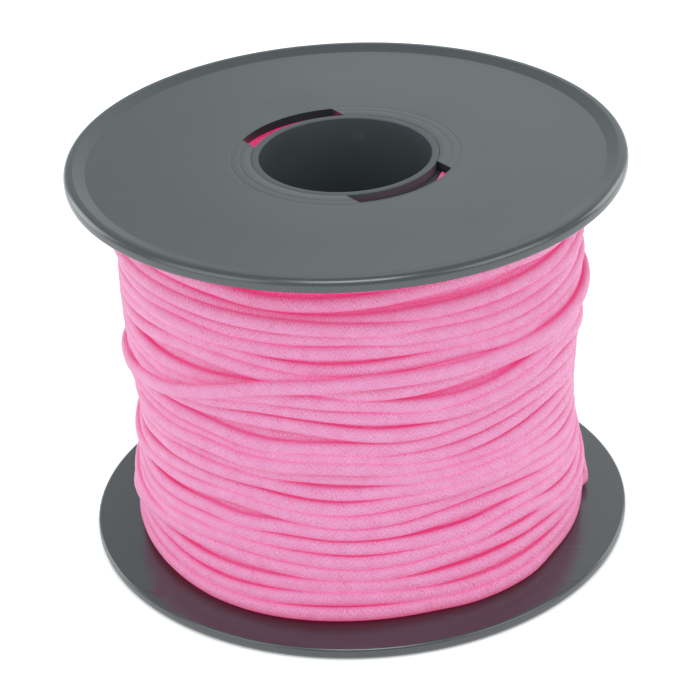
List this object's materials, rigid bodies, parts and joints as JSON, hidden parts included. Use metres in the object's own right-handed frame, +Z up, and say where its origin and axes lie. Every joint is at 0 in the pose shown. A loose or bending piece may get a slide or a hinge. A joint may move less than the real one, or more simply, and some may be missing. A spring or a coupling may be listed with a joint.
{
  "type": "fishing line spool",
  "caption": "Flanged plastic spool with an open centre bore, wound full of braided fishing line.",
  "frame": {"origin": "centre of the circle that the lower flange's rim stands on, at the lowest point of the part", "axes": "+Z up along the spool's axis, +X to the right of the front view, +Y away from it"},
  "size_m": [0.075, 0.075, 0.0562],
  "materials": {
    "flange_plastic": "satin moulded charcoal plastic",
    "tube_plastic": "satin moulded charcoal plastic, slightly darker inside the bore",
    "braided_line": "soft matte braided synthetic line, pale pink"
  },
  "bodies": {
    "root": {"core_tube": "tube_plastic", "upper_flange": "flange_plastic", "lower_flange": "flange_plastic", "line_winding": "braided_line"}
  },
  "joints": []
}
